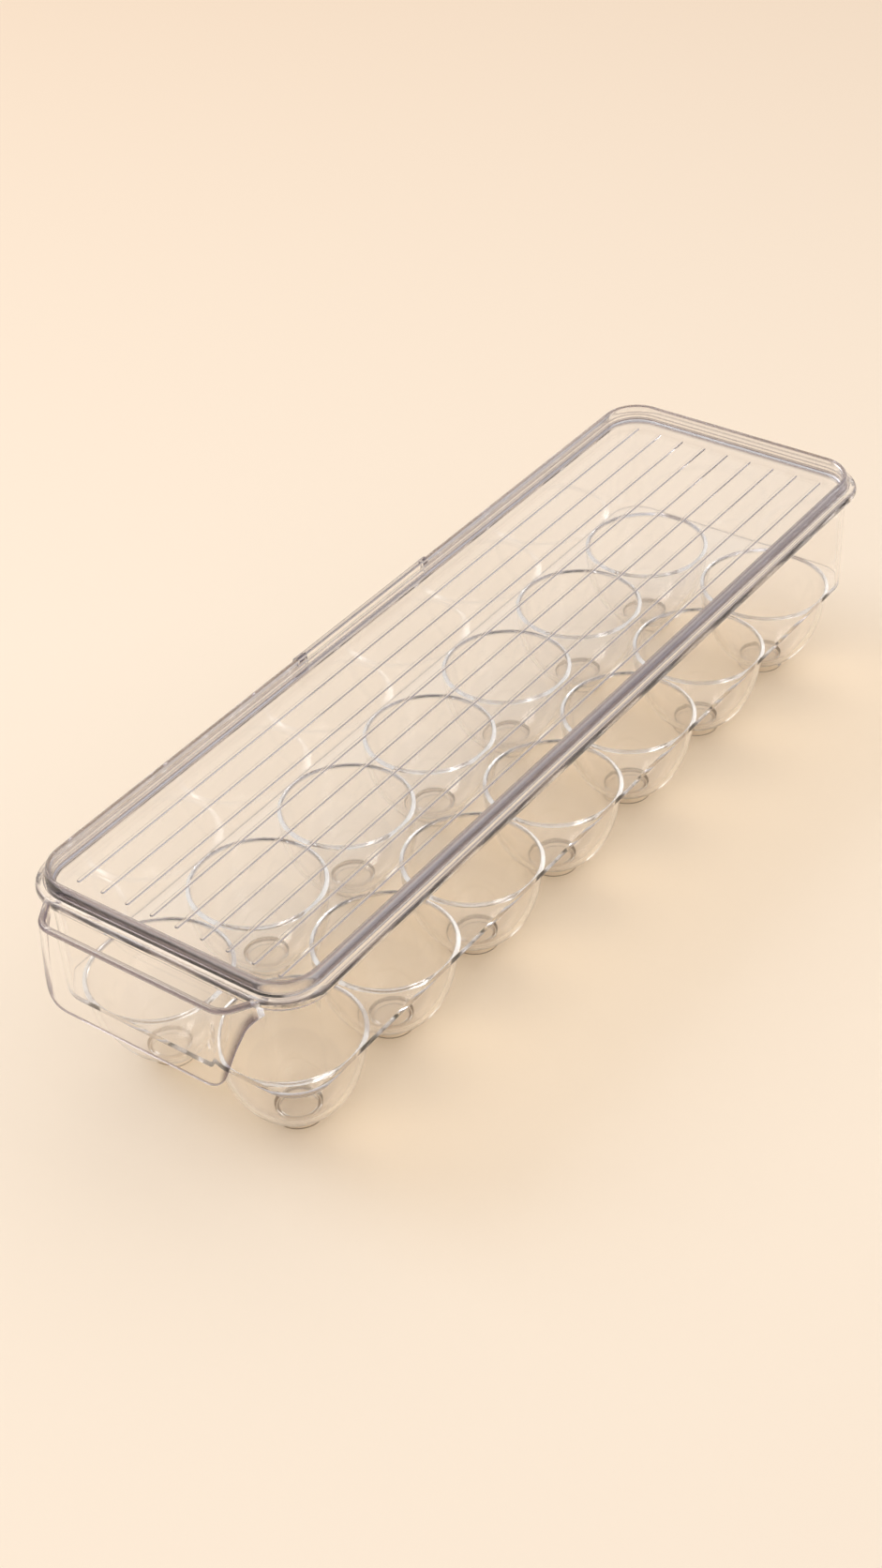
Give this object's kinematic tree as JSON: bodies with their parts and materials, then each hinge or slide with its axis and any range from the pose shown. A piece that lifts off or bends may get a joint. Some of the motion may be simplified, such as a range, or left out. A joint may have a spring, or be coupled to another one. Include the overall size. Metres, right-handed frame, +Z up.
{
  "type": "egg keeper with flip lid",
  "caption": "Clear egg keeper: a moulded tray of hanging egg cups with a front carry handle and a ribbed lid hinged along one long side.",
  "frame": {"origin": "centre of the bounding box in plan, on the surface that the cups stand on", "axes": "+Z up, +Y along the length away from the carry handle, +X towards the long side that lifts; the hinge is on the -X side"},
  "size_m": [0.1112, 0.361, 0.0826],
  "materials": {
    "clear_tray": "clear moulded, high gloss",
    "clear_lid": "clear moulded, high gloss"
  },
  "bodies": {
    "tray": {"tray_wall": "clear_tray", "tray_rim": "clear_tray", "carry_handle": "clear_tray", "hinge_lug": "clear_tray", "hinge_pin_front": "clear_tray", "hinge_pin_rear": "clear_tray", "egg_cup_01": "clear_tray", "egg_cup_02": "clear_tray", "egg_cup_03": "clear_tray", "egg_cup_04": "clear_tray", "egg_cup_05": "clear_tray", "egg_cup_06": "clear_tray", "egg_cup_07": "clear_tray", "egg_cup_08": "clear_tray", "egg_cup_09": "clear_tray", "egg_cup_10": "clear_tray", "egg_cup_11": "clear_tray", "egg_cup_12": "clear_tray", "egg_cup_13": "clear_tray", "egg_cup_14": "clear_tray"},
    "lid": {"lid_panel": "clear_lid", "lid_rim": "clear_lid"}
  },
  "joints": [
    {"name": "lid_hinge", "type": "hinge", "parent": "tray", "child": "lid", "pos_m": [-0.0522, 0.00575, 0.0802], "axis": [0, -1, 0], "range_deg": [0, 110]}
  ]
}
